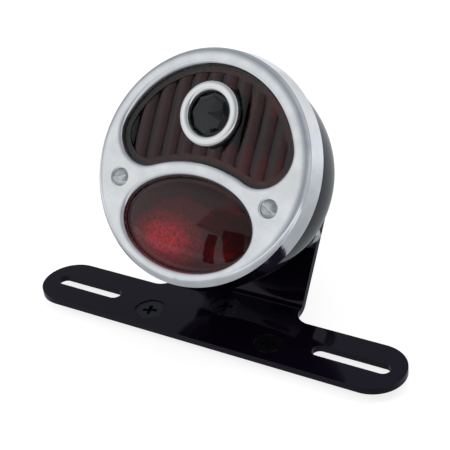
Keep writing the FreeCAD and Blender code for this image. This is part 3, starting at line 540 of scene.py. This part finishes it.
def makeFloor():
    # pale paper: white to the eye, lit by the lamps, and brighter to gloss the further out it lies
    mesh = bpy.data.meshes.new("floor")
    sheet = bmesh.new()
    bmesh.ops.create_grid(sheet, x_segments=1, y_segments=1, size=studio["floorSize"] / 2)
    bmesh.ops.translate(sheet, verts=sheet.verts, vec=(0, 0, cadBox[0].z - studio["floorGap"]))
    sheet.to_mesh(mesh)
    sheet.free()
    floor = bpy.data.objects.new("floor", mesh)
    scene.collection.objects.link(floor)
    material, tree, shader, position = startMaterial("floorPaper")
    grain = addNoise(tree, position, studio["paperPerMetre"], "clouds")
    tree.links.new(blendColours(tree, grain, *studio["paperColours"]), shader.inputs["Base Color"])
    setSockets(shader, Roughness=studio["paperRoughness"])
    reach = tree.nodes.new("ShaderNodeVectorMath")
    reach.operation = "LENGTH"
    tree.links.new(position, reach.inputs[0])
    glossLevel = stretch(tree, reach.outputs["Value"], studio["floorGlossReach"], studio["floorGloss"])
    glossy = tree.nodes.new("ShaderNodeEmission")
    glossy.inputs["Color"].default_value = (*studio["floorGlossColour"], 1)
    tree.links.new(glossLevel, glossy.inputs["Strength"])
    white = tree.nodes.new("ShaderNodeEmission")
    white.inputs["Strength"].default_value = studio["floorWhite"]
    lit = tree.nodes.new("ShaderNodeBsdfDiffuse")
    lit.inputs["Color"].default_value = (studio["floorLit"],) * 3 + (1,)
    both = tree.nodes.new("ShaderNodeAddShader")
    tree.links.new(white.outputs[0], both.inputs[0])
    tree.links.new(lit.outputs[0], both.inputs[1])
    rays = tree.nodes.new("ShaderNodeLightPath")
    surface = shader.outputs[0]
    for ray, shown in (("Is Transmission Ray", both), ("Is Glossy Ray", glossy), ("Is Camera Ray", both)):
        surface = chooseShader(tree, rays.outputs[ray], surface, shown.outputs[0])
    tree.links.new(surface, tree.nodes["Material Output"].inputs["Surface"])
    mesh.materials.append(material)


def facing(tree, direction, way):
    # 1 straight towards the way, -1 straight away from it
    towards = tree.nodes.new("ShaderNodeVectorMath")
    towards.operation = "DOT_PRODUCT"
    towards.inputs[1].default_value = Vector(way).normalized()
    tree.links.new(direction, towards.inputs[0])
    return towards.outputs["Value"]


def makeWorld():
    # white to the eye, an even grey day for soft light, and for gloss a bright side that falls to
    # a dim arc and rises again behind; perfectly sharp glass sees a dimmer patch as well
    world = bpy.data.worlds.new("studio")
    scene.world = world
    world.use_nodes = True
    tree = world.node_tree
    tree.nodes.clear()
    output = tree.nodes.new("ShaderNodeOutputWorld")
    rays = tree.nodes.new("ShaderNodeLightPath")
    direction = tree.nodes.new("ShaderNodeTexCoord").outputs["Generated"]
    brightSide = facing(tree, direction, studio["brightTowards"])
    stops = [((way + 1) / 2, level) for way, level in studio["glossStops"]]
    brightness = addRamp(tree, stretch(tree, brightSide, (-1, 1), (0, 1)), stops, studio["blueShift"])
    dimSide = facing(tree, direction, studio["dimTowards"])
    sharpOnly = tree.nodes.new("ShaderNodeMix")
    sharpOnly.inputs["A"].default_value = 1.0
    tree.links.new(rays.outputs["Is Singular Ray"], sharpOnly.inputs["Factor"])
    tree.links.new(stretch(tree, dimSide, studio["dimReach"], studio["dimLevels"]), sharpOnly.inputs["B"])
    dimmed = tree.nodes.new("ShaderNodeVectorMath")
    dimmed.operation = "SCALE"
    tree.links.new(brightness, dimmed.inputs[0])
    tree.links.new(sharpOnly.outputs["Result"], dimmed.inputs["Scale"])
    day = tree.nodes.new("ShaderNodeBackground")
    day.inputs["Strength"].default_value = studio["worldDay"]
    gloss = tree.nodes.new("ShaderNodeBackground")
    tree.links.new(dimmed.outputs["Vector"], gloss.inputs["Color"])
    white = tree.nodes.new("ShaderNodeBackground")
    white.inputs["Color"].default_value = (1, 1, 1, 1)
    seen = chooseShader(tree, rays.outputs["Is Glossy Ray"], day.outputs[0], gloss.outputs[0])
    seen = chooseShader(tree, rays.outputs["Is Camera Ray"], seen, white.outputs[0])
    tree.links.new(seen, output.inputs["Surface"])


# dark cloths that only show as reflections in perfectly sharp glass
legColours = ((0.10, 0.085, 0.09), (0.18, 0.155, 0.16))
clothsFrom = (0.0, -0.011, 0.060)  # each outline is a list of directions from here
cloths = {
    "coat": {
        "away": 0.8, "colours": ((0.55, 0.50, 0.51), (0.68, 0.62, 0.63)),
        "outline": ((-0.33, -0.75, 0.57), (-0.17, -0.39, 0.90), (0.35, -0.20, 0.91), (0.60, -0.55, 0.58),
                    (-0.03, -0.87, 0.50)),
    },
    "leftLeg": {
        "away": 0.20, "colours": legColours,
        "outline": ((-0.10, -0.87, 0.48), (0.03, -0.88, 0.47), (-0.02, -0.96, -0.29), (-0.16, -0.94, -0.29)),
    },
    "rightLeg": {
        "away": 0.20, "colours": legColours,
        "outline": ((0.09, -0.76, 0.63), (0.40, -0.70, 0.60), (0.40, -0.91, -0.20), (0.13, -0.98, -0.20)),
    },
}
weave = {"perMetre": 40, "roughness": 0.95}


def makeCloth(name):
    cut = cloths[name]
    material, tree, shader, position = startMaterial(name + "Cloth")
    threadTone = addNoise(tree, position, weave["perMetre"], "clouds")
    tree.links.new(blendColours(tree, threadTone, *cut["colours"]), shader.inputs["Base Color"])
    setSockets(shader, Roughness=weave["roughness"])
    clear = tree.nodes.new("ShaderNodeBsdfTransparent")
    sharp = tree.nodes.new("ShaderNodeLightPath").outputs["Is Singular Ray"]
    surface = chooseShader(tree, sharp, clear.outputs[0], shader.outputs[0])
    tree.links.new(surface, tree.nodes["Material Output"].inputs["Surface"])
    sheet = bmesh.new()
    start = Vector(clothsFrom)
    corners = [start + Vector(way).normalized() * cut["away"] for way in cut["outline"]]
    sheet.faces.new([sheet.verts.new(corner) for corner in corners])
    mesh = bpy.data.meshes.new(name)
    sheet.to_mesh(mesh)
    sheet.free()
    mesh.materials.append(material)
    cloth = bpy.data.objects.new(name, mesh)
    scene.collection.objects.link(cloth)
    cloth.visible_camera = False
    cloth.visible_diffuse = False
    cloth.visible_transmission = False
    cloth.visible_shadow = False


lampsAim = (0, 0.01, 0.06)
lamps = {
    "keySoftbox": {"place": (-0.55, -0.55, 0.75), "size": 0.55, "power": 4.0},
    "topSoftbox": {"place": (0.25, 0.25, 0.95), "size": 0.7, "power": 3.0},
}


def makeLamp(name):
    # a soft box that lights the object and doesn't show in its gloss
    data = bpy.data.lights.new(name, "AREA")
    data.shape = "SQUARE"
    data.size = lamps[name]["size"]
    data.energy = lamps[name]["power"]
    lamp = bpy.data.objects.new(name, data)
    place = Vector(lamps[name]["place"])
    lamp.location = place
    lamp.rotation_euler = (Vector(lampsAim) - place).to_track_quat("-Z", "Y").to_euler()
    lamp.visible_glossy = False
    scene.collection.objects.link(lamp)


view = {
    "place": (0.251251, -0.348236, 0.315805), "turn": (58.187, 5.699, 30.764), "lens": 90.784,
    "sensor": 36, "near": 0.01,
}


def makeCamera():
    camera = bpy.data.objects.new("camera", bpy.data.cameras.new("camera"))
    camera.location = view["place"]
    camera.rotation_euler = Euler([math.radians(angle) for angle in view["turn"]], "XYZ")
    camera.data.lens = view["lens"]
    camera.data.sensor_width = view["sensor"]
    camera.data.clip_start = view["near"]
    scene.collection.objects.link(camera)
    scene.camera = camera


makeFloor()
for name in cloths:
    makeCloth(name)
makeWorld()
for name in lamps:
    makeLamp(name)
makeCamera()
scene.view_settings.view_transform = "Standard"
print("stage, lamps and camera set")
